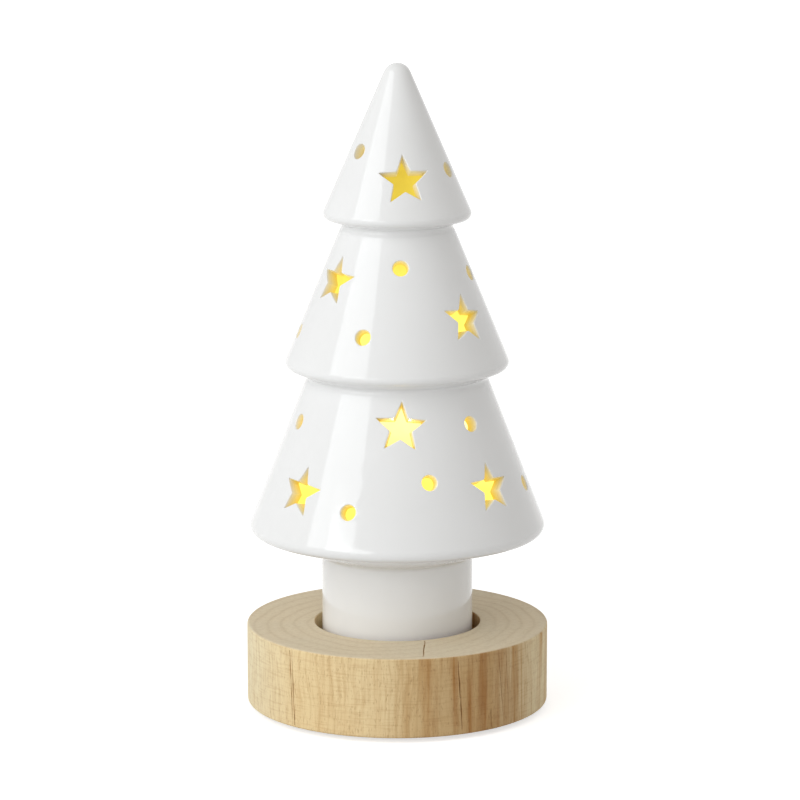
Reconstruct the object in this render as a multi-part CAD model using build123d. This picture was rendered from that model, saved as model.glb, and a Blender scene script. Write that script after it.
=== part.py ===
# Lit ceramic Christmas tree on a wooden log-slice base.
# A pierced, slip-cast shell stands loose in a turned recess, over a battery tealight.
# Millimetres. Z is up, the table is Z = 0, and the front of the tree faces -Y.
import os
from math import atan2, cos, radians, sin, tan

from build123d import *

# Wooden base and the felt pads under it
base_diameter = 100.0
base_thickness = 26.5
base_edge_round = 0.8
recess_clearance = 2.5
recess_depth = 8.0
recess_edge_round = 0.5
pad_count = 4
pad_diameter = 12.0
pad_thickness = 1.5
pad_edge_round = 0.3
pad_inset = 4.0

# Tree shell: heights run from the foot of the trunk up
wall = 4.0
foot_round = 0.8
tealight_clearance = 2.2
trunk_length = 31.5
trunk_fillet = 2.0
lower_underside_rise = 8.1
lower_rim_diameter = 99.2
lower_rim_round = 2.8
lower_tier_height = 49.7
lower_shoulder_diameter = 60.6
shoulder_rise = 1.8
shoulder_round = 3.0
groove_round = 1.2
middle_groove_diameter = 58.6
middle_underside_rise = 3.6
middle_rim_diameter = 74.7
middle_rim_round = 2.2
middle_tier_height = 44.6
middle_shoulder_diameter = 37.7
top_groove_diameter = 35.0
top_underside_rise = 2.6
top_rim_diameter = 49.8
top_rim_round = 2.0
top_cone_height = 57.0
tip_round = 4.65

# Cut-outs: stars and round dots, cut square to the wall and narrower inside by a draft angle
star_diameter = 17.2
star_points = 5
star_waist_share = 0.43
dot_diameter = 5.2
cut_overrun = 2.0
cut_draft_angle = 8.0
# Each place: angle from the front in degrees, share of the tier's height, turn in degrees
top_star_shares = ((7.2, 0.248, -2), (129, 0.26, 0), (249, 0.255, -6))
top_dot_shares = ((-55, 0.391), (68, 0.283), (190, 0.385))
middle_star_shares = ((-55, 0.671, 2), (48.2, 0.411, 7), (140, 0.67, 6), (228, 0.42, -8))
middle_dot_shares = (
    (2.7, 0.791), (76, 0.702), (190, 0.79), (262, 0.77),
    (-20.5, 0.313), (-82, 0.265), (112, 0.29), (174, 0.27),
)
lower_star_shares = (
    (2, 0.815, 3), (118, 0.80, -4), (236, 0.81, 6),
    (-47.9, 0.369, 5), (46.8, 0.397, 1), (148, 0.39, 4), (205, 0.38, -8),
)
lower_dot_shares = (
    (-67.5, 0.773), (44.3, 0.803), (158, 0.78), (197, 0.80),
    (14.9, 0.475), (-21, 0.288), (77, 0.346), (118, 0.36), (177, 0.33), (232, 0.35), (258, 0.42),
)

# Battery tealight: heights run from its own foot up
cup_height = 17.0
cup_wall = 1.2
cup_edge_round = 1.4
skirt_wall = 0.8
skirt_depth = 1.6
dish_lip = 3.2
dish_depth = 2.4
dish_slope_width = 4.4
dish_round = 1.5
flame_diameter = 11.6
flame_neck_diameter = 9.6
flame_height = 25.0
flame_belly_share = 0.30
flame_waist_share = 0.70
flame_waist_width_share = 0.42
flame_tip_diameter = 1.6
flame_clearance = 0.2
flange_width = 2.2
flange_thickness = 1.2

# Light-emitting diode and its two leads
led_diameter = 5.0
led_height = 8.6
led_flange_width = 0.4
led_flange_height = 1.0
led_clearance = 0.3
lead_width = 0.5
lead_pitch = 2.54

# Battery carrier
plate_thickness = 1.5
plate_clearance = 0.1
well_offset = 3.5
well_wall = 1.5
boss_clearance = 0.3
roof_thickness = 1.2
post_wall = 0.9
post_slot_width = 1.2
post_lap = 0.6
track_wall = 1.1

# Coin cell
cell_diameter = 20.0
cell_height = 3.2
cell_cap_inset = 1.2
cell_cap_height = 0.5
cell_edge_round = 0.3
cell_clearance = 0.4
cell_lift = 0.1

# Twist-off battery door
door_thickness = 1.7
door_overlap = 0.6
door_clearance = 0.3
lug_count = 3
lug_reach = 1.1
lug_angle = 28.0
notch_play = 4.0
lip_thickness = 0.8
lug_clearance = 0.15
coin_slot_length = 13.0
coin_slot_width = 1.8
coin_slot_depth = 0.8

# Sliding switch
switch_travel = 3.0
knob_spacing = 1.2
knob_width = 4.2
knob_length = 6.0
knob_flange_thickness = 1.0
knob_stem_width = 2.0
knob_stem_length = 3.0
knob_nub_height = 0.9
knob_nub_length = 2.0
knob_grip_height = 0.7
knob_rib_count = 3
knob_rib_depth = 0.3
knob_clearance = 0.15
slot_clearance = 0.2

# Spring-strip contacts
strip_thickness = 0.3
strip_width = 4.0
strip_clearance = 0.2
cell_gap = 0.05
tongue_length = 9.0
tab_length = 2.4
riser_offset = 3.6
side_strip_drop = 1.6

# Levels above the table
base_bottom = pad_thickness
base_top = base_bottom + base_thickness
recess_floor = base_top - recess_depth

# Tree levels above its own foot
lower_rim_level = trunk_length + lower_underside_rise
lower_shoulder_level = lower_rim_level + lower_tier_height
middle_groove_level = lower_shoulder_level + shoulder_rise
middle_rim_level = middle_groove_level + middle_underside_rise
middle_shoulder_level = middle_rim_level + middle_tier_height
top_groove_level = middle_shoulder_level + shoulder_rise
top_rim_level = top_groove_level + top_underside_rise
apex_level = top_rim_level + top_cone_height

# Tealight levels above its own foot
plate_bottom = skirt_depth
plate_top = plate_bottom + plate_thickness
lip_top = plate_bottom + lip_thickness
door_top = plate_bottom + door_thickness
track_top = door_top + lug_clearance
cell_bottom = door_top + cell_lift
cell_top = cell_bottom + cell_height
tongue_bottom = cell_top + cell_gap
roof_bottom = tongue_bottom + strip_thickness + cell_gap
roof_top = roof_bottom + roof_thickness
dish_top = cup_height - dish_depth
dish_underside = dish_top - cup_wall
flange_bottom = dish_underside - flange_thickness
post_top = flange_bottom + post_lap
led_top = post_top + led_height
flame_tip = dish_top + flame_height
lead_level = roof_top + strip_thickness + lead_width / 2
knob_flange_bottom = plate_top + knob_clearance
knob_flange_top = knob_flange_bottom + knob_flange_thickness
knob_nub_top = knob_flange_top + knob_nub_height
side_strip_level = knob_nub_top + strip_clearance + strip_thickness / 2

# Tealight radii
flame_hole = flame_diameter / 2 + flame_clearance
flange_radius = flame_hole + flange_width
led_radius = led_diameter / 2
led_flange_radius = led_radius + led_flange_width
lens_bore = led_flange_radius + led_clearance
cell_radius = cell_diameter / 2
well_radius = cell_radius + cell_clearance
door_radius = well_radius + door_overlap
door_opening = door_radius + door_clearance
lug_radius = door_opening + lug_reach
track_radius = lug_radius + door_clearance
boss_radius = track_radius + track_wall
cup_bore = well_offset + boss_radius + boss_clearance
cup_radius = cup_bore + cup_wall
skirt_bore = cup_radius - skirt_wall
knob_reach = boss_radius - well_offset + knob_spacing + knob_width / 2
lug_pitch = 360 / lug_count
door_turn = lug_pitch / 3
switch_on = switch_travel / 2

# The trunk goes over the tealight, and stands in the recess
trunk_radius = cup_radius + tealight_clearance + wall
recess_radius = trunk_radius + recess_clearance

# Each tier's rim and shoulder as (radius, level) above the foot
lower_tier = {
    "rim": (lower_rim_diameter / 2, lower_rim_level),
    "shoulder": (lower_shoulder_diameter / 2, lower_shoulder_level),
}
middle_tier = {
    "rim": (middle_rim_diameter / 2, middle_rim_level),
    "shoulder": (middle_shoulder_diameter / 2, middle_shoulder_level),
}
top_tier = {"rim": (top_rim_diameter / 2, top_rim_level), "shoulder": (0, apex_level)}


def solid_of_revolution(points, radii):
    """Revolve a closed outline in the XZ plane about Z, with a rounding for each corner."""
    outline = FilletPolyline(*points, radius=radii, close=True)
    return revolve(Plane.XZ * make_face(outline), Axis.Z)


def tree_face(foot_level):
    """The tree's full outline, left and right of the axis, down to foot_level."""
    right_side = [
        (top_tier["rim"], top_rim_round),
        ((top_groove_diameter / 2, top_groove_level), groove_round),
        (middle_tier["shoulder"], shoulder_round),
        (middle_tier["rim"], middle_rim_round),
        ((middle_groove_diameter / 2, middle_groove_level), groove_round),
        (lower_tier["shoulder"], shoulder_round),
        (lower_tier["rim"], lower_rim_round),
        ((trunk_radius, trunk_length), trunk_fillet),
        ((trunk_radius, foot_level), foot_round),
    ]
    left_side = [((-x, z), rounding) for (x, z), rounding in reversed(right_side)]
    corners = left_side + [((0, apex_level), tip_round)] + right_side
    points = [point for point, rounding in corners]
    radii = [rounding for point, rounding in corners]
    return make_face(FilletPolyline(*points, radius=radii, close=True))


def revolve_half(face):
    """Revolve the right half of a face that is symmetric about the axis."""
    box = face.bounding_box()
    half = Pos(box.max.X / 2, box.center().Y) * Rectangle(box.max.X, box.size.Y)
    return revolve(Plane.XZ * (face & half), Axis.Z)


def wall_plane(tier, angle, height_share):
    """A plane on a tier's outer wall: Z points out, Y points up along the wall."""
    (rim_radius, rim_level), (top_radius, top_level) = tier["rim"], tier["shoulder"]
    slope = atan2(rim_radius - top_radius, top_level - rim_level)
    radius = rim_radius + (top_radius - rim_radius) * height_share
    level = rim_level + (top_level - rim_level) * height_share
    turn = radians(angle)
    outward = Vector(sin(turn), -cos(turn), 0)
    along = Vector(cos(turn), sin(turn), 0)
    normal = outward * cos(slope) + Vector(0, 0, 1) * sin(slope)
    return Plane(origin=outward * radius + Vector(0, 0, level), x_dir=along, z_dir=normal)


def star_face():
    tip = star_diameter / 2
    step = radians(180 / star_points)
    corners = []
    for index in range(2 * star_points):
        reach = tip if index % 2 == 0 else tip * star_waist_share
        corners.append((reach * sin(index * step), reach * cos(index * step)))
    return make_face(Polyline(*corners, close=True))


def wall_cut(tier, angle, height_share, face):
    """A drafted cut through the wall, as wide as the face at the surface."""
    plane = wall_plane(tier, angle, height_share).offset(cut_overrun)
    start = offset(face, amount=cut_overrun * tan(radians(cut_draft_angle)), kind=Kind.INTERSECTION)
    return extrude(plane * start, amount=-(2 * wall + cut_overrun), taper=cut_draft_angle)


def tree_cuts():
    star = star_face()
    dot = Circle(dot_diameter / 2)
    cuts = []
    for tier, stars, dots in (
        (top_tier, top_star_shares, top_dot_shares),
        (middle_tier, middle_star_shares, middle_dot_shares),
        (lower_tier, lower_star_shares, lower_dot_shares),
    ):
        cuts += [wall_cut(tier, angle, share, Rot(0, 0, -turn) * star) for angle, share, turn in stars]
        cuts += [wall_cut(tier, angle, share, dot) for angle, share in dots]
    return cuts


def tree_shell():
    outside = revolve_half(tree_face(0))
    inside = revolve_half(offset(tree_face(-2 * wall), amount=-wall))
    return Pos(0, 0, recess_floor) * (outside - inside - tree_cuts())


def tree_sections():
    """The shell as its trunk and three tiers, which meet under the lowest tier and in the two grooves."""
    levels = {
        "tree_trunk": trunk_length - trunk_fillet,
        "lower_tier": middle_groove_level,
        "middle_tier": top_groove_level,
    }
    rest = tree_shell()
    sections = {}
    for name, level in levels.items():
        parting = Plane.XY.offset(recess_floor + level)
        sections[name] = split(rest, bisect_by=parting, keep=Keep.BOTTOM)
        rest = split(rest, bisect_by=parting, keep=Keep.TOP)
    return {**sections, "top_tier": rest}


def wood_base():
    outer = base_diameter / 2
    return solid_of_revolution(
        [
            (0, base_bottom), (outer, base_bottom), (outer, base_top),
            (recess_radius, base_top), (recess_radius, recess_floor), (0, recess_floor),
        ],
        [0, base_edge_round, base_edge_round, recess_edge_round, 0, 0],
    )


def felt_pad(index):
    reach = base_diameter / 2 - pad_inset - pad_diameter / 2
    radius = pad_diameter / 2
    pad = solid_of_revolution(
        [(0, 0), (radius, 0), (radius, pad_thickness), (0, pad_thickness)],
        [0, pad_edge_round, 0, 0],
    )
    place = PolarLocations(reach, pad_count, start_angle=180 / pad_count).locations[index]
    return place * pad


def tealight_cup():
    """Moulded cup with a dished top like melted wax, open below for the carrier."""
    lip = cup_radius - dish_lip
    floor = lip - dish_slope_width
    return solid_of_revolution(
        [
            (cup_radius, 0), (cup_radius, cup_height), (lip, cup_height), (floor, dish_top),
            (flame_hole, dish_top), (flame_hole, dish_underside), (floor, dish_underside),
            (lip, cup_height - cup_wall), (cup_bore, cup_height - cup_wall),
            (cup_bore, plate_top), (skirt_bore, plate_top), (skirt_bore, 0),
        ],
        [0, cup_edge_round, dish_round, dish_round, 0, 0, dish_round, dish_round, 0, 0, 0, 0],
    )


def flame_lens():
    """Hollow flame-shaped lens on a flange that seats under the cup's top."""
    belly = (flame_diameter / 2, dish_top + flame_height * flame_belly_share)
    waist = (
        flame_diameter / 2 * flame_waist_width_share,
        dish_top + flame_height * flame_waist_share,
    )
    neck = (flame_neck_diameter / 2, dish_top)
    tip = (flame_tip_diameter / 2, flame_tip)
    bore_end = led_top + led_clearance
    bore_shoulder = (lens_bore, bore_end - lens_bore)
    side = Spline(neck, belly, waist, tip)
    axis = Polyline(tip, (0, flame_tip), (0, bore_end))
    bore_dome = RadiusArc((0, bore_end), bore_shoulder, lens_bore)
    flange = Polyline(
        bore_shoulder, (lens_bore, flange_bottom), (flange_radius, flange_bottom),
        (flange_radius, dish_underside), (flame_neck_diameter / 2, dish_underside), neck,
    )
    return revolve(Plane.XZ * make_face(side + axis + bore_dome + flange), Axis.Z)


def led_bulb():
    dome_start = led_top - led_radius
    outline = Polyline(
        (led_radius, dome_start), (led_radius, post_top + led_flange_height),
        (led_flange_radius, post_top + led_flange_height), (led_flange_radius, post_top),
        (0, post_top), (0, led_top),
    )
    dome = RadiusArc((0, led_top), (led_radius, dome_start), led_radius)
    return revolve(Plane.XZ * make_face(outline + dome), Axis.Z)


def bent_strip(points, thickness, width):
    """A bent strip: a path in the XZ plane given a thickness, then a width across it."""
    return extrude(Plane.XZ * trace(Polyline(*points), thickness), amount=width / 2, both=True)


def led_leads():
    """The two leads, bent out over the carrier's roof: one to each contact."""
    inner = lead_pitch / 2
    negative = bent_strip(
        [(-inner, post_top), (-inner, lead_level), (-riser_offset - tab_length, lead_level)],
        lead_width, lead_width,
    )
    drop = side_strip_level + strip_thickness / 2 + strip_clearance
    positive = bent_strip(
        [(inner, post_top), (inner, lead_level), (knob_reach, lead_level), (knob_reach, drop)],
        lead_width, lead_width,
    )
    return negative + positive


def ring_sector(inner, outer, angle):
    """Part of a ring that spans an angle, centred on +X."""
    half = radians(angle / 2)
    far = 2 * outer
    wedge = make_face(Polyline(
        (0, 0), (far * cos(half), -far * sin(half)), (far * cos(half), far * sin(half)), close=True
    ))
    return (Circle(outer) - Circle(inner)) & wedge


def battery_well():
    """Round housing for the cell, with the door's opening, track and retaining lip below."""
    can = well_radius + well_wall
    boss_top = track_top + track_wall
    return solid_of_revolution(
        [
            (door_opening, plate_bottom), (boss_radius, plate_bottom), (boss_radius, boss_top),
            (can, boss_top), (can, roof_top), (0, roof_top), (0, roof_bottom),
            (well_radius, roof_bottom), (well_radius, track_top), (track_radius, track_top),
            (track_radius, lip_top), (door_opening, lip_top),
        ],
        0,
    )


def base_plate():
    """Carrier: a plate with the battery well, the diode's post and the switch slot."""
    well_place = Pos(-well_offset, 0, 0)
    plate = Pos(0, 0, plate_bottom) * extrude(
        Circle(skirt_bore - plate_clearance) - well_place * Circle(track_radius), plate_thickness
    )
    post = Pos(0, 0, roof_top) * extrude(
        Circle(led_radius) - Circle(led_radius - post_wall), post_top - roof_top
    )
    notch = extrude(
        ring_sector(door_opening - cut_overrun, track_radius, lug_angle + notch_play),
        lip_thickness + cut_overrun,
    )
    notch_place = well_place * Pos(0, 0, plate_bottom - cut_overrun)
    notches = [notch_place * Rot(0, 0, index * lug_pitch - door_turn) * notch for index in range(lug_count)]
    slot_length = knob_stem_length + switch_travel + 2 * slot_clearance
    switch_slot = Pos(knob_reach, 0, plate_bottom) * extrude(
        Rectangle(knob_stem_width + 2 * slot_clearance, slot_length), plate_thickness
    )
    post_slot = Pos(0, 0, roof_top) * extrude(
        Rectangle(led_diameter + cut_overrun, post_slot_width), post_top - roof_top
    )
    tab_slot = Pos(-riser_offset, 0, roof_bottom) * extrude(
        Rectangle(strip_thickness + 2 * strip_clearance, strip_width + 2 * strip_clearance), roof_thickness
    )
    side_slot_length = well_wall + cell_clearance + cut_overrun
    side_slot_height = side_strip_level + strip_thickness - track_top
    side_slot = Pos(cell_radius - well_offset, 0, track_top) * extrude(
        Pos(side_slot_length / 2, 0) * Rectangle(side_slot_length, strip_width + 2 * strip_clearance),
        side_slot_height,
    )
    carrier = plate + well_place * battery_well() + post
    return carrier - [*notches, switch_slot, post_slot, tab_slot, side_slot]


def coin_cell():
    cap = cell_radius - cell_cap_inset
    shoulder = cell_top - cell_cap_height
    cell = solid_of_revolution(
        [
            (0, cell_bottom), (cell_radius, cell_bottom), (cell_radius, shoulder),
            (cap, shoulder), (cap, cell_top), (0, cell_top),
        ],
        [0, cell_edge_round, cell_edge_round, 0, cell_edge_round / 2, 0],
    )
    return Pos(-well_offset, 0, 0) * cell


def negative_contact():
    """Tongue on the cell's cap, led up through the roof to a solder tab."""
    tongue = tongue_bottom + strip_thickness / 2
    tab = roof_top + strip_thickness / 2
    return bent_strip(
        [
            (-riser_offset - tongue_length, tongue), (-riser_offset, tongue),
            (-riser_offset, tab), (-riser_offset - tab_length, tab),
        ],
        strip_thickness, strip_width,
    )


def positive_contact():
    """Spring on the cell's rim, led out of the well to the switch."""
    rim = cell_radius - well_offset + cell_gap + strip_thickness / 2
    return bent_strip(
        [(rim, side_strip_level - side_strip_drop), (rim, side_strip_level), (knob_reach, side_strip_level)],
        strip_thickness, strip_width,
    )


def battery_door():
    """Disc with three lugs above the lip, and a slot below for turning it with a coin."""
    disc = Pos(0, 0, plate_bottom) * extrude(Circle(door_radius), door_thickness)
    lug_bottom = lip_top + lug_clearance
    lug = extrude(ring_sector(door_radius - door_clearance, lug_radius, lug_angle), door_top - lug_bottom)
    lugs = [Pos(0, 0, lug_bottom) * Rot(0, 0, index * lug_pitch) * lug for index in range(lug_count)]
    slot = Pos(0, 0, plate_bottom) * extrude(SlotOverall(coin_slot_length, coin_slot_width), coin_slot_depth)
    return Pos(-well_offset, 0, 0) * (disc + lugs - slot)


def switch_knob():
    """Flange above the plate, stem through its slot, ribbed grip below."""
    body = Rectangle(knob_width, knob_length)
    flange = Pos(0, 0, knob_flange_bottom) * extrude(body, knob_flange_thickness)
    nub = Pos(0, 0, knob_flange_top) * extrude(Rectangle(knob_width, knob_nub_length), knob_nub_height)
    grip_top = plate_bottom - knob_clearance
    stem = Pos(0, 0, grip_top) * extrude(
        Rectangle(knob_stem_width, knob_stem_length), knob_flange_bottom - grip_top
    )
    grip = Pos(0, 0, grip_top) * extrude(body, -knob_grip_height)
    rib_pitch = knob_length / (knob_rib_count + 1)
    groove = Pos(0, 0, grip_top - knob_grip_height) * extrude(
        Rectangle(knob_width, rib_pitch / 2), knob_rib_depth
    )
    first = -(knob_rib_count - 1) / 2
    grooves = [Pos(0, (first + index) * rib_pitch, 0) * groove for index in range(knob_rib_count)]
    return Pos(knob_reach, switch_on, 0) * (flange + nub + stem + grip - grooves)


def tealight_pieces():
    """The tealight's pieces, standing on the floor of the recess."""
    pieces = {
        "tealight_cup": tealight_cup(),
        "flame_lens": flame_lens(),
        "led_bulb": led_bulb(),
        "led_leads": led_leads(),
        "base_plate": base_plate(),
        "coin_cell": coin_cell(),
        "negative_contact": negative_contact(),
        "positive_contact": positive_contact(),
        "battery_door": battery_door(),
        "switch_knob": switch_knob(),
    }
    return {name: Pos(0, 0, recess_floor) * piece for name, piece in pieces.items()}


def main():
    pieces = {**tree_sections(), "wood_base": wood_base()}
    for index in range(pad_count):
        pieces[f"felt_pad_{index + 1}"] = felt_pad(index)
    pieces.update(tealight_pieces())
    os.makedirs("parts", exist_ok=True)
    for name, piece in pieces.items():
        export_step(piece, f"parts/{name}.step")


main()
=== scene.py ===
# Lit ceramic Christmas tree on a slice of wood: the looks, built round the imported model.
# Shapes are worked out in millimetres, and scaled to metres when a piece is finished.
from math import cos, pi, radians, sin, tan

import bmesh
import bpy
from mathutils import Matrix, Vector


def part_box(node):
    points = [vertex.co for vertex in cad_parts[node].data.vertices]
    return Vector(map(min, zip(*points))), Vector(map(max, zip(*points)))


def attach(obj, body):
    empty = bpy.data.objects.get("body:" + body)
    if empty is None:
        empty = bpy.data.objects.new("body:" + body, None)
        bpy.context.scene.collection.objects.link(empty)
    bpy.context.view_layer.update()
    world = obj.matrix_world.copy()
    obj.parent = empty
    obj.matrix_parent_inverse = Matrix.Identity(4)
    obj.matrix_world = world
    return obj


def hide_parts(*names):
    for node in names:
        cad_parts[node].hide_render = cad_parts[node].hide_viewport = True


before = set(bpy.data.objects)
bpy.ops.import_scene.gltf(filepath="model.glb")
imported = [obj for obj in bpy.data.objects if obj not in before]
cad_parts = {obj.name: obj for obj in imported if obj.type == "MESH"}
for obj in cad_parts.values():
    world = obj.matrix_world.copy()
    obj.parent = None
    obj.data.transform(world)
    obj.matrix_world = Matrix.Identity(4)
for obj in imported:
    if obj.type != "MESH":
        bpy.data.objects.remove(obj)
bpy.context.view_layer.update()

MM = 0.001

# Levels and sizes read from the frame
base_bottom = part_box("wood_base")[0].z / MM
base_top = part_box("wood_base")[1].z / MM
base_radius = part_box("wood_base")[1].x / MM
recess_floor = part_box("tree_trunk")[0].z / MM
cup_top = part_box("tealight_cup")[1].z / MM
flame_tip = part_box("flame_lens")[1].z / MM

# Tree shell: wall, roundings, and corners as (radius, level above the foot of the trunk)
wall = 4.0
foot_round = 0.8
trunk_fillet = 2.0
inner_round = 0.4
inner_groove_round = 2.0
groove_round = 1.2
shoulder_round = 3.0
lower_rim_round = 2.8
middle_rim_round = 2.2
top_rim_round = 2.0
tip_round = 4.65
trunk_radius = 25.0
trunk_top = (trunk_radius, 31.5)
lower_rim = (49.6, 39.6)
lower_shoulder = (30.3, 89.3)
middle_groove = (29.3, 91.1)
middle_rim = (37.35, 94.7)
middle_shoulder = (18.85, 139.3)
top_groove = (17.5, 141.1)
top_rim = (24.9, 143.7)
apex = (0.0, 200.7)

# Pierced walls: the stretch of each slope that is cut as a flat sheet, and the angle of the sheet's seam
lower_sheet_shares = (0.08, 0.99)
middle_sheet_shares = (0.08, 0.95)
top_sheet_shares = (0.06, 0.55)
lower_seam = 276
middle_seam = 204
top_seam = 168

# Cut-outs: their size at the surface, how far they narrow through the wall, and their glaze-softened edges
star_reach = 8.7
star_points = 5
star_waist_share = 0.43
star_draft = 0.55
corner_round = 0.5
corner_steps = 3
dot_radius = 2.6
dot_draft = 0.35
dot_sides = 40
edge_round = 0.3
edge_steps = 4
# Round a cut-out the wall is set back square to its middle; this fades out over these shares of its reach,
# and over this distance at the sheet's edges
square_reach_share = 1.7
square_fade_share = 0.5
sheet_edge_fade = 0.7

# Places of the stars: angle from the front in degrees, share of the tier's slope, turn in degrees
top_stars = ((7.2, 0.248, -2), (129, 0.26, 0), (249, 0.255, -6))
middle_stars = ((-55, 0.671, 2), (48.2, 0.411, 7), (140, 0.67, 6), (228, 0.42, -8))
lower_stars = (
    (2, 0.815, 3), (118, 0.80, -4), (236, 0.81, 6),
    (-47.9, 0.369, 5), (46.8, 0.397, 1), (148, 0.39, 4), (205, 0.38, -8),
)
# Places of the dots: angle from the front in degrees, share of the tier's slope
top_dots = ((-55, 0.391), (68, 0.283), (190, 0.385))
middle_dots = (
    (2.7, 0.791), (76, 0.702), (190, 0.79), (262, 0.77),
    (-20.5, 0.313), (-82, 0.265), (112, 0.29), (174, 0.27),
)
lower_dots = (
    (-67.5, 0.773), (44.3, 0.803), (158, 0.78), (197, 0.80),
    (14.9, 0.475), (-21, 0.288), (77, 0.346), (118, 0.36), (177, 0.33), (232, 0.35), (258, 0.42),
)

# Painted light inside the tree: the levels between which the inner wall's painted glow changes colour, and
# those over which the cut-outs' painted glow dims
glow_low = 40
glow_high = 200
dim_low = 140
dim_high = 185
dim_share = 0.5

# Base
recess_radius = 27.5
slice_edge_round = 0.8
recess_edge_round = 0.5
# Cracks in its side: angle from the front, lowest and highest level, width, depth, lean in degrees
side_cracks = (
    (-43.6, 9.0, 27.0, 0.5, 0.4, -3.0), (-42.2, 2.5, 19.0, 0.5, 0.5, -3.0),
    (24.0, 2.5, 27.0, 0.6, 0.5, -4.0), (42.2, 10.0, 24.0, 0.5, 0.4, -6.0),
    (45.4, 14.0, 26.0, 0.45, 0.35, -4.0), (37.5, 2.5, 9.0, 0.5, 0.4, -3.0),
    (118.0, 2.5, 27.0, 0.6, 0.5, 1.5), (196.0, 2.5, 27.0, 0.5, 0.5, -1.5), (262.0, 8.0, 27.0, 0.5, 0.4, 1.0),
)
# Cracks in its top: angle from the front, nearest and farthest reach from the axis, width, depth, lean
top_cracks = ((13.0, 28.4, 48.6, 0.5, 0.4, -15.0),)
crack_step = 1.6
# The faces that a crack may cut: how squarely they face it, and how far off they lie to its sides, to its
# ends and over or under it
crack_facing = 0.8
crack_side_reach = 6.4
crack_end_reach = 27.5
crack_level_reach = 1.6
# A crack tapers over this share of its length at each end, and its bottom sways by a share of its width
crack_taper_share = 0.25
crack_sway_share = 0.3
crack_sway_rate = 7.0
# The wood's colours across the slice: where they begin and end, and where the brown heartwood sets in
wood_left = -44
wood_right = 56
heart_left = -6
heart_right = 26

# Felt discs
felt_count = 4
felt_lower_round = 0.3
felt_upper_round = 0.2
felt_columns = 48

# Mesh fineness
columns = 120
arc_steps = 8
row_height = 5.0
merge_gap = 0.004
collapse_gap = merge_gap / 4
cut_gap = merge_gap / 8
crease_angle = radians(48)

# Camera, from the photograph's perspective
camera_distance = 1120.0
camera_height = 320.0
camera_side = 0.9
camera_pitch = 10.985
camera_lens = 155.8
sensor_width = 36.0

# Studio: each soft box as name, azimuth, elevation, distance, width and height in metres, power in watts
soft_boxes = (
    ("key_box", -56, 33, 1.4, 0.95, 0.85, 5.7),
    ("low_box", -38, 14, 1.2, 0.8, 0.4, 2.8),
)
soft_box_tint = (0.95, 0.98, 1.0)
soft_box_aim = 110
# The room as a light, and the white that the floor adds to what is seen of it
white = (1, 1, 1, 1)
room_tint = (1.0, 0.985, 0.96, 1)
room_light = 0.58
floor_glow = 0.64
floor_half_side = 4
# The diode's light: its power, its size, and its height over the flame
diode_power = 0.02
diode_size = 3
diode_rise = 4


# Shaping helpers

def placed(name, data):
    """A new object in the scene."""
    holder = bpy.data.objects.new(name, data)
    bpy.context.scene.collection.objects.link(holder)
    return holder


def closed_loop(bm, places):
    """Edges round a loop of new points."""
    verts = [bm.verts.new(place) for place in places]
    return [bm.edges.new(pair) for pair in zip(verts, verts[1:] + verts[:1])]


def rounded_wire(bm, corners):
    """A wire through (radius, level, rounding) corners; a corner with a rounding becomes an arc."""
    places = [Vector((radius, 0, level)) for radius, level, _ in corners]
    chain = []
    for index, here in enumerate(places):
        rounding = corners[index][2]
        if not rounding:
            chain.append((bm.verts.new(here),) * 2)
            continue
        back = (places[index - 1] - here).normalized()
        ahead = (places[(index + 1) % len(places)] - here).normalized()
        turn = pi - back.angle(ahead)
        start = bm.verts.new(here + back * rounding * tan(turn / 2))
        middle = here + (back + ahead).normalized() * rounding / cos(turn / 2)
        arc = bmesh.ops.spin(
            bm, geom=[start], cent=middle, axis=back.cross(ahead).normalized(), dvec=(0, 0, 0),
            angle=-turn, steps=arc_steps, use_merge=False, use_normal_flip=False, use_duplicate=False,
        )
        end = next(item for item in arc["geom_last"] if isinstance(item, bmesh.types.BMVert))
        chain.append((start, end))
    for (_, end), (start, _) in zip(chain, chain[1:]):
        bm.edges.new((end, start))


def spin_wires(bm, edges, steps=columns, inside=False):
    """Turn wire edges once round the Z axis; the new faces take the inside or outside finish."""
    verts = dict.fromkeys(vert for edge in edges for vert in edge.verts)
    before = set(bm.faces)
    bmesh.ops.spin(
        bm, geom=[*verts, *edges], cent=(0, 0, 0), axis=(0, 0, 1), dvec=(0, 0, 0),
        angle=2 * pi, steps=steps, use_merge=True, use_normal_flip=False, use_duplicate=False,
    )
    for face in set(bm.faces) - before:
        face.material_index = int(inside)


def finished_piece(name, bm, body, finishes, replaced):
    """Close, smooth and scale a shape to metres, and make it a piece that rides on a body."""
    bmesh.ops.remove_doubles(bm, verts=bm.verts[:], dist=merge_gap)
    bmesh.ops.dissolve_degenerate(bm, edges=bm.edges[:], dist=collapse_gap)
    bmesh.ops.recalc_face_normals(bm, faces=bm.faces[:])
    for face in bm.faces:
        face.smooth = True
    for edge in bm.edges:
        edge.smooth = len(edge.link_faces) == 2 and edge.calc_face_angle() < crease_angle
    bmesh.ops.scale(bm, vec=(MM, MM, MM), verts=bm.verts[:])
    mesh = bpy.data.meshes.new(name)
    bm.to_mesh(mesh)
    bm.free()
    for finish in finishes:
        mesh.materials.append(finish)
    piece = placed(name, mesh)
    normals = piece.modifiers.new("even_normals", "WEIGHTED_NORMAL")
    normals.mode = "FACE_AREA"
    normals.keep_sharp = True
    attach(piece, body)
    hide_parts(*replaced)


# Finishes

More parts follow.
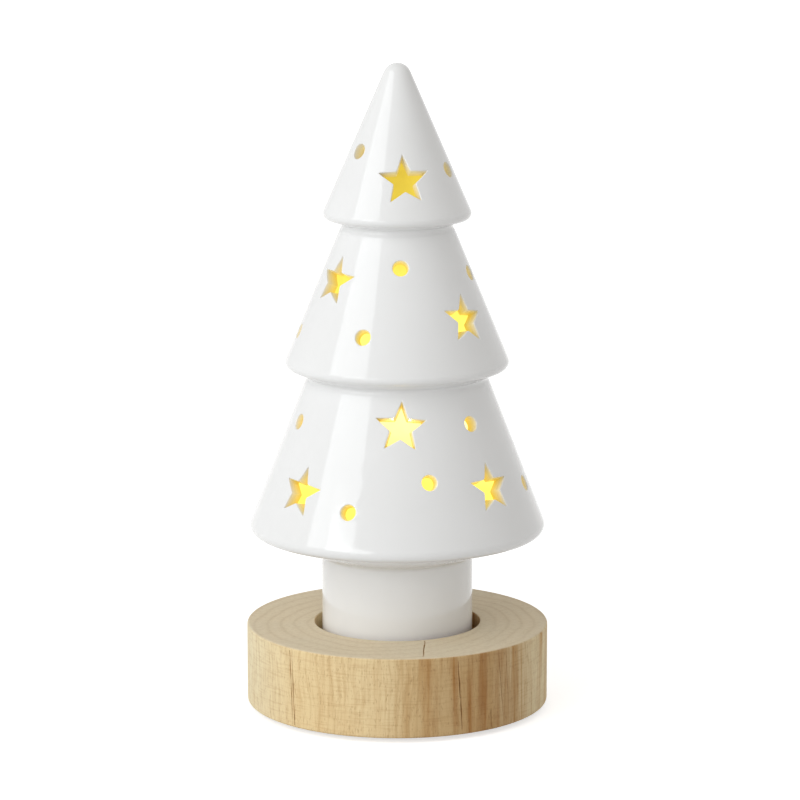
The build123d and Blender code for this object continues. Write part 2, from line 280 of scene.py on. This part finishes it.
class Nodes:
    """Short ways to add shader nodes to a material or a world, and to join them."""

    def __init__(self, owner):
        owner.use_nodes = True
        self.tree = owner.node_tree

    def add(self, kind, **settings):
        node = self.tree.nodes.new(kind)
        for key, value in settings.items():
            setattr(node, key, value)
        return node

    def feed(self, socket, value):
        if isinstance(value, bpy.types.NodeSocket):
            self.tree.links.new(value, socket)
        else:
            socket.default_value = value

    def calc(self, operation, first, second=0.0, third=0.0):
        node = self.add("ShaderNodeMath", operation=operation)
        for socket, value in zip(node.inputs, (first, second, third)):
            self.feed(socket, value)
        return node.outputs["Value"]

    def remap(self, value, low, high, to_low=0.0, to_high=1.0):
        node = self.add("ShaderNodeMapRange")
        limits = (("From Min", low), ("From Max", high), ("To Min", to_low), ("To Max", to_high))
        for key, number in limits:
            node.inputs[key].default_value = number
        self.feed(node.inputs["Value"], value)
        return node.outputs["Result"]

    def mix(self, factor, first, second, blend="MIX"):
        node = self.add("ShaderNodeMix", data_type="RGBA", blend_type=blend)
        self.feed(node.inputs["Factor"], factor)
        colours = [socket for socket in node.inputs if socket.type == "RGBA"]
        for socket, value in zip(colours, (first, second)):
            self.feed(socket, value)
        return next(socket for socket in node.outputs if socket.type == "RGBA")

    def seen(self):
        """1 for what is looked at, directly, in a reflection or through glass; 0 for light alone."""
        rays = self.add("ShaderNodeLightPath").outputs
        direct = self.calc("MAXIMUM", rays["Is Camera Ray"], rays["Is Glossy Ray"])
        return self.calc("MAXIMUM", direct, rays["Is Transmission Ray"])


class Finish(Nodes):
    """A node material: a Principled shader fed by textures on the piece's own coordinates, in millimetres."""

    def __init__(self, name):
        self.material = bpy.data.materials.new(name)
        super().__init__(self.material)
        self.shader = self.tree.nodes["Principled BSDF"]
        place = self.add("ShaderNodeTexCoord").outputs["Object"]
        self.place = self.stretch(place, (1 / MM, 1 / MM, 1 / MM))

    def set(self, **values):
        for key, value in values.items():
            self.feed(self.shader.inputs[key.replace("_", " ")], value)

    def axis(self, vector, name):
        node = self.add("ShaderNodeSeparateXYZ")
        self.feed(node.inputs["Vector"], vector)
        return node.outputs[name]

    def level(self):
        return self.axis(self.place, "Z")

    def stretch(self, vector, scale):
        node = self.add("ShaderNodeMapping")
        node.inputs["Scale"].default_value = scale
        self.feed(node.inputs["Vector"], vector)
        return node.outputs["Vector"]

    def noise(self, scale, detail=3.0, roughness=0.5, vector=None, output="Fac"):
        node = self.add("ShaderNodeTexNoise")
        for key, value in (("Scale", scale), ("Detail", detail), ("Roughness", roughness)):
            node.inputs[key].default_value = value
        self.feed(node.inputs["Vector"], vector or self.place)
        return node.outputs[output]

    def grain(self, vector, scale, detail, roughness):
        """Noise drawn out along an axis; scale says how often it changes in each millimetre, by axis."""
        return self.noise(1.0, detail, roughness, self.stretch(vector, scale))

    def ramp(self, factor, stops):
        node = self.add("ShaderNodeValToRGB")
        elements = node.color_ramp.elements
        while len(elements) < len(stops):
            elements.new(1.0)
        for element, (position, colour) in zip(elements, stops):
            element.position = position
            element.color = colour
        self.feed(node.inputs["Fac"], factor)
        return node.outputs["Color"]

    def attribute(self, name):
        return self.add("ShaderNodeAttribute", attribute_name=name).outputs["Fac"]

    def bump(self, height, distance, strength, normal=None):
        node = self.add("ShaderNodeBump")
        node.inputs["Strength"].default_value = strength
        node.inputs["Distance"].default_value = distance * MM
        self.feed(node.inputs["Height"], height)
        if normal:
            self.feed(node.inputs["Normal"], normal)
        return node.outputs["Normal"]


def rgb(red, green, blue):
    """A colour from 8-bit display values."""
    def linear(value):
        share = value / 255
        return share / 12.92 if share <= 0.04045 else ((share + 0.055) / 1.055) ** 2.4
    return (linear(red), linear(green), linear(blue), 1.0)


def white_glaze():
    """Thick glossy white glaze: faint cloudiness, a slow ripple; rougher in the cut-outs, whose walls get a
    painted amber glow.
    """
    finish = Finish("white_glaze")
    cloud = finish.noise(0.035)
    tint = finish.mix(cloud, rgb(236, 236, 235), rgb(243, 243, 243))
    thin_and_glow = finish.attribute("thin_glaze_and_glow")
    # Painted glow: the cut-outs' walls turn amber and glow, more deeply into each hole and less towards the
    # tip, in place of the diode's light through them
    nearness = finish.remap(finish.level(), dim_low, dim_high, 1.0, dim_share)
    lit = finish.calc("MULTIPLY", finish.calc("POWER", thin_and_glow, 0.7), nearness)
    ripple = finish.bump(finish.noise(0.06, 1.0), distance=0.25, strength=0.25)
    peel = finish.bump(finish.noise(0.9, 2.0), distance=0.02, strength=0.12, normal=ripple)
    gloss = finish.remap(finish.noise(0.3), 0.3, 0.7, 0.05, 0.10)
    finish.set(
        Base_Color=finish.mix(lit, tint, rgb(218, 192, 94)),
        Emission_Color=rgb(252, 222, 70),
        Emission_Strength=finish.calc("MULTIPLY", lit, 0.22),
        Roughness=finish.calc("MULTIPLY_ADD", thin_and_glow, 0.45, gloss),
        IOR=1.52,
        Normal=peel,
    )
    return finish.material


def painted_inside_glow():
    """The inner wall with a painted glow in place of the diode's light: palest where its beam falls, amber
    towards the tip.
    """
    finish = Finish("painted_inside_glow")
    cloud = finish.noise(0.07)
    glow = finish.ramp(finish.remap(finish.level(), glow_low, glow_high), (
        (0.0, rgb(244, 214, 90)), (0.16, rgb(250, 238, 112)), (0.31, rgb(253, 252, 204)),
        (0.43, rgb(253, 250, 150)), (0.56, rgb(238, 234, 112)), (0.70, rgb(202, 193, 84)),
        (0.83, rgb(194, 180, 72)), (1.0, rgb(182, 156, 56)),
    ))
    # Painted glow: emission and an amber base colour stand in for the diode's light on the inner wall
    finish.set(
        Base_Color=finish.mix(cloud, rgb(164, 144, 76), rgb(188, 172, 104)),
        Roughness=0.6,
        Emission_Color=glow,
        Emission_Strength=finish.remap(cloud, 0.25, 0.75, 0.62, 0.95),
    )
    return finish.material


def pale_wood():
    """Slice of pale wood: growth rings on top, fibres, veins and saw marks on its side, brown cracks."""
    finish = Finish("pale_wood")
    wander = finish.noise(0.02, 2.0, output="Color")
    bend = finish.add("ShaderNodeVectorMath", operation="MULTIPLY_ADD")
    for socket, value in zip(bend.inputs, (wander, (12, 12, 3), finish.place)):
        finish.feed(socket, value)
    bent = bend.outputs["Vector"]
    across = finish.axis(bent, "X")
    patch = finish.noise(0.03, 2.0)
    fibre = finish.grain(bent, (0.9, 0.9, 0.05), 5.0, 0.65)
    streak = finish.grain(finish.place, (0.11, 0.11, 0.008), 3.0, 0.6)
    vein = finish.grain(finish.place, (0.26, 0.26, 0.014), 3.0, 0.6)
    saw = finish.grain(finish.place, (0.12, 0.12, 1.6), 3.0, 0.6)
    fleck = finish.grain(finish.place, (2.2, 2.2, 0.6), 2.0, 0.5)

    # The side: pale sapwood, brown heartwood to the right, and pale again at its far edge
    band = finish.ramp(finish.remap(across, wood_left, wood_right), (
        (0.0, rgb(246, 236, 202)), (0.18, rgb(242, 217, 166)), (0.44, rgb(240, 216, 168)),
        (0.57, rgb(207, 174, 122)), (0.81, rgb(170, 122, 58)), (1.0, rgb(240, 226, 188)),
    ))
    streaks = finish.ramp(finish.mix(0.5, streak, patch), (
        (0.32, rgb(214, 186, 136)), (0.48, rgb(226, 202, 154)), (0.64, rgb(234, 216, 172)),
    ))
    side = finish.mix(0.3, band, streaks)
    heart = finish.remap(across, heart_left, heart_right, 0.15, 0.9)
    stains = (
        (finish.calc("MULTIPLY", finish.remap(vein, 0.46, 0.66), heart), rgb(212, 176, 120)),
        (finish.remap(fibre, 0.45, 0.72, 0.0, 0.5), rgb(211, 186, 156)),
        (finish.remap(saw, 0.50, 0.72, 0.0, 0.4), rgb(220, 201, 178)),
        (finish.remap(fleck, 0.58, 0.75, 0.0, 0.5), rgb(188, 158, 122)),
    )
    for amount, colour in stains:
        side = finish.mix(amount, side, colour, "MULTIPLY")

    # The top: end grain, with rings round the heart
    rings = finish.add("ShaderNodeTexWave", wave_type="RINGS", rings_direction="Z", wave_profile="SIN")
    for key, value in (("Scale", 0.07), ("Distortion", 1.6), ("Detail", 3.0), ("Detail Scale", 0.6)):
        rings.inputs[key].default_value = value
    finish.feed(rings.inputs["Vector"], bent)
    top = finish.ramp(rings.outputs["Fac"], (
        (0.0, rgb(228, 212, 182)), (0.8, rgb(226, 209, 178)), (1.0, rgb(219, 201, 169)),
    ))
    top = finish.mix(finish.remap(patch, 0.4, 0.65, 0.0, 0.5), top, rgb(220, 208, 182))
    top = finish.mix(finish.remap(fibre, 0.45, 0.75, 0.0, 0.35), top, rgb(190, 168, 132))

    facing_up = finish.axis(finish.add("ShaderNodeNewGeometry").outputs["Normal"], "Z")
    wood = finish.mix(finish.remap(facing_up, 0.5, 0.9), side, top)
    finish.set(
        Base_Color=finish.mix(finish.attribute("crack"), wood, rgb(158, 114, 68)),
        Roughness=finish.remap(fibre, 0.2, 0.8, 0.6, 0.8),
        Normal=finish.bump(finish.calc("ADD", fibre, saw), distance=0.14, strength=0.28),
    )
    return finish.material


def grey_felt():
    """Pressed felt: dark and light hairs, with a soft sheen."""
    finish = Finish("grey_felt")
    fuzz = finish.noise(2.2, 6.0, 0.7)
    finish.set(
        Base_Color=finish.mix(fuzz, rgb(70, 66, 62), rgb(128, 122, 115)),
        Roughness=0.95,
        Sheen_Weight=0.5,
        Normal=finish.bump(fuzz, distance=0.4, strength=0.7),
    )
    return finish.material


def ivory_plastic():
    """Moulded plastic that lets a little light in, with a fine grain."""
    finish = Finish("ivory_plastic")
    cloud = finish.noise(0.08)
    grain = finish.noise(2.0, 2.0)
    finish.set(
        Base_Color=finish.mix(cloud, rgb(236, 230, 214), rgb(243, 239, 228)),
        Roughness=finish.remap(grain, 0.3, 0.7, 0.38, 0.52),
        Subsurface_Weight=0.15,
        Subsurface_Radius=(0.004, 0.003, 0.002),
        Normal=finish.bump(grain, distance=0.02, strength=0.3),
    )
    return finish.material


def amber_lens():
    """Frosted flame with a painted glow, brightest round the diode."""
    finish = Finish("amber_lens")
    level = finish.level()
    glow = finish.ramp(finish.remap(level, cup_top, flame_tip), (
        (0.0, rgb(255, 214, 120)), (0.35, rgb(255, 244, 190)), (1.0, rgb(255, 176, 60)),
    ))
    frost = finish.noise(1.5)
    # Painted glow: the lens's emission stands in for the diode's light inside it
    finish.set(
        Base_Color=finish.mix(frost, rgb(255, 214, 140), rgb(255, 226, 166)),
        Roughness=0.35,
        Emission_Color=glow,
        Emission_Strength=finish.remap(level, cup_top, flame_tip, 1.0, 0.55),
        Normal=finish.bump(frost, distance=0.03, strength=0.4),
    )
    return finish.material


def led_resin():
    """The diode's lit resin, a little hazy."""
    finish = Finish("led_resin")
    haze = finish.noise(1.0, 2.0)
    finish.set(
        Base_Color=finish.mix(haze, rgb(255, 226, 150), rgb(255, 238, 190)),
        Roughness=0.12,
        Emission_Color=rgb(255, 222, 130),
        Emission_Strength=1.0,
    )
    return finish.material


def drawn_metal(name, dark, light, scale, roughness):
    """Bare metal with fine lines drawn along it."""
    finish = Finish(name)
    lines = finish.grain(finish.place, scale, 4.0, 0.6)
    finish.set(
        Base_Color=finish.mix(lines, dark, light),
        Metallic=1.0,
        Roughness=finish.remap(lines, 0.3, 0.7, roughness, roughness + 0.15),
        Normal=finish.bump(lines, distance=0.01, strength=0.3),
    )
    return finish.material


def black_plastic():
    """The switch's dark plastic, with a fine grain."""
    finish = Finish("black_plastic")
    grain = finish.noise(3.0)
    finish.set(
        Base_Color=finish.mix(grain, rgb(24, 24, 25), rgb(40, 40, 42)),
        Roughness=0.5,
        Normal=finish.bump(grain, distance=0.02, strength=0.4),
    )
    return finish.material


def studio_paper():
    """Pale paper that looks white, and still takes the object's shadow."""
    finish = Finish("studio_paper")
    finish.set(
        Base_Color=finish.mix(finish.noise(0.02), rgb(214, 214, 214), rgb(220, 220, 220)),
        Roughness=0.9,
        Emission_Color=white,
        Emission_Strength=finish.calc("MULTIPLY", finish.seen(), floor_glow),
    )
    return finish.material


# The tree

class Tier:
    """One cone of the tree: the straight wall between its rim and its shoulder, with its cut-outs."""

    def __init__(self, rim, shoulder, sheet_shares, seam, stars, dots):
        self.rim = Vector(rim)
        slope = Vector(shoulder) - self.rim
        self.slant = slope.length
        self.up = slope.normalized()
        self.out = Vector((self.up.y, -self.up.x))
        self.low, self.high = (share * self.slant for share in sheet_shares)
        self.mean_radius = self.radius((self.low + self.high) / 2)
        self.seam = radians(seam)
        self.holes = []
        for angle, share, turn in stars:
            self.holes.append(Hole(self, star_outline(turn), star_depth(), star_draft, angle, share))
        for angle, share in dots:
            self.holes.append(Hole(self, dot_outline(), dot_radius, dot_draft, angle, share))

    def radius(self, climb):
        return self.rim.x + self.up.x * climb

    def edge(self, climb, depth=0.0):
        """The wall's (radius, level) at a distance up its slope, and under its surface."""
        return tuple(self.rim + self.up * climb - self.out * depth)

    def place(self, angle, climb, depth, axis):
        """A point of the wall; what lies under the surface is set back along axis."""
        radius, level = self.edge(climb)
        surface = Vector((radius * sin(angle), -radius * cos(angle), level))
        return surface - axis * depth

    def normal(self, angle):
        return Vector((self.out.x * sin(angle), -self.out.x * cos(angle), self.out.y))


class Hole:
    """A cut-out: an outline across and up the wall, cut square to the wall at its middle, that narrows."""

    def __init__(self, tier, outline, half_width, draft, angle, share):
        self.tier = tier
        self.outline = outline
        self.half_width = half_width
        self.draft = draft
        self.angle = (radians(angle) - tier.seam) % (2 * pi)
        self.climb = share * tier.slant
        self.reach = max(Vector(point).length for point in outline) + edge_round

    def loop(self, bm, grow, depth):
        """The outline, grown outwards, drawn on the tier's unrolled wall."""
        scale = 1 + grow / self.half_width
        places = []
        for across, along in self.outline:
            climb = self.climb + along * scale
            angle = self.angle + across * scale / self.tier.radius(climb)
            places.append((angle * self.tier.mean_radius, climb, -depth))
        return closed_loop(bm, places)

    def nearness(self, angle, climb):
        """1 at the cut-out, fading to 0 a little way off and at the sheet's edges."""
        turn = (angle - self.angle + pi) % (2 * pi) - pi
        off = Vector((turn * self.tier.radius(self.climb), climb - self.climb)).length / self.reach
        from_hole = (square_reach_share - off) / square_fade_share
        from_edge = min(climb - self.tier.low, self.tier.high - climb) / sheet_edge_fade
        return max(min(from_hole, from_edge, 1.0), 0.0)


def star_corners(turn):
    step = pi / star_points
    corners = []
    for index in range(2 * star_points):
        reach = star_reach if index % 2 == 0 else star_reach * star_waist_share
        angle = index * step + radians(turn)
        corners.append(Vector((reach * sin(angle), reach * cos(angle))))
    return corners


def star_outline(turn):
    """A star with each corner cut back and eased by a curve, as the glaze leaves it."""
    corners = star_corners(turn)
    outline = []
    for index, corner in enumerate(corners):
        following = corners[(index + 1) % len(corners)]
        start = corner + (corners[index - 1] - corner).normalized() * corner_round
        end = corner + (following - corner).normalized() * corner_round
        for step in range(corner_steps + 1):
            share = step / corner_steps
            outline.append(start.lerp(corner, share).lerp(corner.lerp(end, share), share))
    return outline


def star_depth():
    """How far a star's edges lie from its middle."""
    first, second = star_corners(0)[:2]
    return abs(first.cross(second)) / (second - first).length


def dot_outline():
    angles = [2 * pi * index / dot_sides for index in range(dot_sides)]
    return [(dot_radius * cos(angle), dot_radius * sin(angle)) for angle in angles]


tiers = (
    Tier(top_rim, apex, top_sheet_shares, top_seam, top_stars, top_dots),
    Tier(middle_rim, middle_shoulder, middle_sheet_shares, middle_seam, middle_stars, middle_dots),
    Tier(lower_rim, lower_shoulder, lower_sheet_shares, lower_seam, lower_stars, lower_dots),
)


def pierced_wall(tier):
    """A tier's wall: two sheets on the unrolled cone, joined through each cut-out, then rolled up."""
    bm = bmesh.new()
    thin_and_glow = bm.verts.layers.float.new("thin_glaze_and_glow")
    width = 2 * pi * tier.mean_radius
    height = tier.high - tier.low
    corners = ((0, tier.low), (width, tier.low), (width, tier.high), (0, tier.high))
    outer_edges = closed_loop(bm, [(*corner, 0.0) for corner in corners])
    inner_edges = closed_loop(bm, [(*corner, -wall) for corner in corners])
    for hole in tier.holes:
        loops = []
        for step in range(edge_steps + 1):
            lean = pi / 2 * step / edge_steps
            loops.append(hole.loop(bm, edge_round * (1 - sin(lean)), edge_round * (1 - cos(lean))))
        inner_loop = hole.loop(bm, -hole.draft, wall)
        # The inner edge of each cut-out: rougher glaze there, and the full painted glow
        for vert in {vert for edge in inner_loop for vert in edge.verts}:
            vert[thin_and_glow] = 1.0
        loops.append(inner_loop)
        outer_edges += loops[0]
        inner_edges += loops[-1]
        for upper, lower in zip(loops, loops[1:]):
            bmesh.ops.bridge_loops(bm, edges=upper + lower)
    bmesh.ops.triangle_fill(bm, use_beauty=True, use_dissolve=False, edges=outer_edges)
    filled = bmesh.ops.triangle_fill(bm, use_beauty=True, use_dissolve=False, edges=inner_edges)
    for face in filled["geom"]:
        if isinstance(face, bmesh.types.BMFace):
            face.material_index = 1
    rows = int(height / row_height)
    cuts = [((width * step / columns, 0, 0), (1, 0, 0)) for step in range(1, columns)]
    cuts += [((0, tier.low + height * step / rows, 0), (0, 1, 0)) for step in range(1, rows)]
    for point, direction in cuts:
        everything = [*bm.verts, *bm.edges, *bm.faces]
        bmesh.ops.bisect_plane(bm, geom=everything, dist=cut_gap, plane_co=point, plane_no=direction)
    for vert in bm.verts:
        angle, climb, depth = vert.co.x / tier.mean_radius, vert.co.y, -vert.co.z
        axis = tier.normal(angle + tier.seam)
        for hole in tier.holes:
            axis = axis.lerp(tier.normal(hole.angle + tier.seam), hole.nearness(angle, climb))
        vert.co = tier.place(angle + tier.seam, climb, depth, axis.normalized())
    return bm


def inset(points, distance):
    """A chain of (radius, level) points moved in from the surface by a wall thickness."""
    lines = []
    for start, end in zip(points, points[1:]):
        along = (Vector(end) - Vector(start)).normalized()
        inward = Vector((along.y, -along.x))
        lines.append((Vector(start) + inward * distance, along))
    moved = []
    for (one, first), (two, second) in zip(lines, lines[1:]):
        share = (two - one).cross(second) / first.cross(second)
        moved.append(tuple(one + first * share))
    return moved


def ring_wires(corners, depth):
    """Open wires from tip to foot, with gaps where the pierced walls go."""
    top, middle, lower = tiers
    tip, *rims, foot = corners
    crown = top.edge(top.high, depth)
    foot_middle = (trunk_radius - wall / 2, 0.0, 0)
    return [
        [(-crown[0], crown[1], 0), tip, (*crown, 0)],
        [(*top.edge(top.low, depth), 0), *rims[:3], (*middle.edge(middle.high, depth), 0)],
        [(*middle.edge(middle.low, depth), 0), *rims[3:6], (*lower.edge(lower.high, depth), 0)],
        [(*lower.edge(lower.low, depth), 0), *rims[6:], foot, foot_middle],
    ]


def tree_rings():
    """The rounded tip, rims, grooves and trunk, outside and in."""
    outer = [
        (*apex, tip_round), (*top_rim, top_rim_round), (*top_groove, groove_round),
        (*middle_shoulder, shoulder_round), (*middle_rim, middle_rim_round), (*middle_groove, groove_round),
        (*lower_shoulder, shoulder_round), (*lower_rim, lower_rim_round), (*trunk_top, trunk_fillet),
        (trunk_radius, 0.0, foot_round),
    ]
    chain = [(-top_rim[0], top_rim[1])] + [corner[:2] for corner in outer]
    inner = [
        (*point, inner_groove_round if corner[2] in (groove_round, trunk_fillet) else inner_round)
        for point, corner in zip(inset(chain, wall), outer)
    ]
    inner.append((trunk_radius - wall, 0.0, foot_round))
    bm = bmesh.new()
    for corners, depth in ((outer, 0.0), (inner, wall)):
        for wire in ring_wires(corners, depth):
            before = set(bm.edges)
            rounded_wire(bm, wire)
            edges = [edge for edge in bm.edges if edge not in before]
            left = [edge for edge in edges if any(vert.co.x < -merge_gap for vert in edge.verts)]
            bmesh.ops.delete(bm, geom=left, context="EDGES")
            spin_wires(bm, [edge for edge in edges if edge.is_valid], inside=bool(depth))
    return bm


def glazed_tree():
    """The whole shell as one piece: the rings with the three pierced walls between them."""
    bm = tree_rings()
    bm.verts.layers.float.new("thin_glaze_and_glow")
    for tier in tiers:
        part = pierced_wall(tier)
        mesh = bpy.data.meshes.new("pierced_wall")
        part.to_mesh(mesh)
        part.free()
        bm.from_mesh(mesh)
        bpy.data.meshes.remove(mesh)
    bmesh.ops.translate(bm, vec=(0, 0, recess_floor), verts=bm.verts[:])
    finishes = [white_glaze(), painted_inside_glow()]
    nodes = ["tree_trunk", "lower_tier", "middle_tier", "top_tier"]
    finished_piece("glazed_tree", bm, "tree", finishes, nodes)


# The base, the pads and the tealight

def wood_slice():
    """The turned base with its recess, and the cracks that drying has left in its side and top."""
    bm = bmesh.new()
    rounded_wire(bm, [
        (0, base_bottom, 0),
        (base_radius, base_bottom, slice_edge_round),
        (base_radius, base_top, slice_edge_round),
        (recess_radius, base_top, recess_edge_round),
        (recess_radius, recess_floor, 0),
        (0, recess_floor, 0),
    ])
    spin_wires(bm, bm.edges[:])
    bmesh.ops.remove_doubles(bm, verts=bm.verts[:], dist=merge_gap)
    bmesh.ops.recalc_face_normals(bm, faces=bm.faces[:])
    bm.verts.layers.float.new("crack")
    up = Vector((0, 0, 1))
    for angle, low, high, width, depth, lean in side_cracks:
        out, right = radial_directions(angle)
        middle = out * base_radius + up * (low + high) / 2
        along = up * cos(radians(lean)) + right * sin(radians(lean))
        crack(bm, middle, out, along, high - low, width, depth)
    for angle, near_reach, far_reach, width, depth, lean in top_cracks:
        out, right = radial_directions(angle)
        middle = out * (near_reach + far_reach) / 2 + up * base_top
        along = out * cos(radians(lean)) + right * sin(radians(lean))
        crack(bm, middle, up, along, far_reach - near_reach, width, depth)
    finished_piece("wood_slice", bm, "base", [pale_wood()], ["wood_base"])


def radial_directions(angle):
    """Unit vectors out from the axis, and to the right of that, at an angle from the front."""
    turn = radians(angle)
    return Vector((sin(turn), -cos(turn), 0)), Vector((cos(turn), sin(turn), 0))


def crack(bm, middle, out, along, length, width, depth):
    """Part the surface along a line: cut its faces either side and down the middle, and push that in."""
    shade = bm.verts.layers.float["crack"]
    across = along.cross(out)

    def faces_near(reach):
        picked = []
        for face in bm.faces:
            off = face.calc_center_median() - middle
            beside = abs(off.dot(across)) < reach and abs(off.dot(along)) < crack_end_reach
            level = abs(off.dot(out)) < crack_level_reach and face.normal.dot(out) > crack_facing
            if beside and level:
                picked += [face, *face.edges, *face.verts]
        return list(dict.fromkeys(picked))

    for offset in (-width / 2, width / 2, 0.0):
        place = middle + across * offset
        picked = faces_near(crack_side_reach)
        bmesh.ops.bisect_plane(bm, geom=picked, dist=merge_gap, plane_co=place, plane_no=across)
    steps = max(int(length / crack_step), 2)
    for step in range(steps + 1):
        place = middle + along * length * (step / steps - 0.5)
        bmesh.ops.bisect_plane(bm, geom=faces_near(width), dist=merge_gap, plane_co=place, plane_no=along)
    for vert in bm.verts:
        off = vert.co - middle
        share = off.dot(along) / length + 0.5
        on_line = abs(off.dot(across)) <= merge_gap and abs(off.dot(out)) <= crack_level_reach
        if not on_line or not 0 < share < 1:
            continue
        from_end = min(share, 1 - share) / crack_taper_share
        vert.co -= out * depth * min(1.0, from_end)
        vert.co += across * width * crack_sway_share * sin(crack_sway_rate * length * share)
        vert[shade] = 1.0


def felt_discs():
    """The pads under the base, with eased edges."""
    finish = grey_felt()
    for index in range(1, felt_count + 1):
        node = f"felt_pad_{index}"
        low, high = (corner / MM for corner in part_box(node))
        radius = (high.x - low.x) / 2
        bm = bmesh.new()
        rounded_wire(bm, [
            (0, low.z, 0),
            (radius, low.z, felt_lower_round),
            (radius, high.z, felt_upper_round),
            (0, high.z, 0),
        ])
        spin_wires(bm, bm.edges[:], felt_columns)
        bmesh.ops.translate(bm, vec=((low.x + high.x) / 2, (low.y + high.y) / 2, 0), verts=bm.verts[:])
        finished_piece(f"felt_disc_{index}", bm, "base", [finish], [node])


def paint(finish, *nodes):
    """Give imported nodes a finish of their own."""
    for node in nodes:
        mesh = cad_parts[node].data
        mesh.materials.clear()
        mesh.materials.append(finish)


def tealight():
    """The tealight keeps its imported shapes, in the finishes of its kind."""
    wire = drawn_metal("tinned_wire", rgb(150, 150, 150), rgb(205, 205, 205), (2, 2, 0.2), 0.3)
    steel = drawn_metal("cell_steel", rgb(150, 150, 152), rgb(200, 200, 202), (0.4, 4, 0.4), 0.25)
    strip = drawn_metal("spring_strip", rgb(160, 156, 140), rgb(205, 200, 186), (0.3, 3, 3), 0.25)
    paint(ivory_plastic(), "tealight_cup", "base_plate", "battery_door")
    paint(black_plastic(), "switch_knob")
    paint(amber_lens(), "flame_lens")
    paint(led_resin(), "led_bulb")
    paint(wire, "led_leads")
    paint(steel, "coin_cell")
    paint(strip, "negative_contact", "positive_contact")


# Studio

def studio_floor():
    bm = bmesh.new()
    bmesh.ops.create_grid(bm, x_segments=1, y_segments=1, size=floor_half_side)
    mesh = bpy.data.meshes.new("studio_floor")
    bm.to_mesh(mesh)
    bm.free()
    mesh.materials.append(studio_paper())
    placed("studio_floor", mesh)


def studio_room():
    """A bright, slightly warm room that looks white."""
    world = bpy.data.worlds.new("studio")
    bpy.context.scene.world = world
    room = Nodes(world)
    background = room.tree.nodes["Background"].inputs
    seen = room.seen()
    room.feed(background["Strength"], room.remap(seen, 0.0, 1.0, room_light, 1.0))
    room.feed(background["Color"], room.mix(seen, room_tint, white))


def soft_box(name, azimuth, elevation, distance, width, height, power):
    """A soft box that points at the middle of the tree."""
    lamp = bpy.data.lights.new(name, "AREA")
    lamp.shape = "RECTANGLE"
    lamp.size = width
    lamp.size_y = height
    lamp.energy = power
    lamp.color = soft_box_tint
    turn, rise = radians(azimuth), radians(elevation)
    back = Vector((sin(turn) * cos(rise), -cos(turn) * cos(rise), sin(rise)))
    holder = placed(name, lamp)
    holder.location = Vector((0, 0, soft_box_aim * MM)) + back * distance
    holder.rotation_mode = "QUATERNION"
    holder.rotation_quaternion = (-back).to_track_quat("-Z", "Y")


def diode_light():
    """The diode's light in the tree, just over the flame."""
    lamp = bpy.data.lights.new("diode_light", "POINT")
    lamp.color = rgb(255, 232, 150)[:3]
    lamp.energy = diode_power
    lamp.shadow_soft_size = diode_size * MM
    holder = placed("diode_light", lamp)
    holder.location = (0, 0, (flame_tip + diode_rise) * MM)
    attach(holder, "tealight")


def camera():
    data = bpy.data.cameras.new("camera")
    data.lens = camera_lens
    data.sensor_width = sensor_width
    holder = placed("camera", data)
    holder.location = Vector((camera_side, -camera_distance, camera_height)) * MM
    holder.rotation_euler = (radians(90 - camera_pitch), 0, 0)
    bpy.context.scene.camera = holder


glazed_tree()
wood_slice()
felt_discs()
tealight()
studio_floor()
studio_room()
for box in soft_boxes:
    soft_box(*box)
diode_light()
camera()
bpy.context.scene.view_settings.view_transform = "Standard"
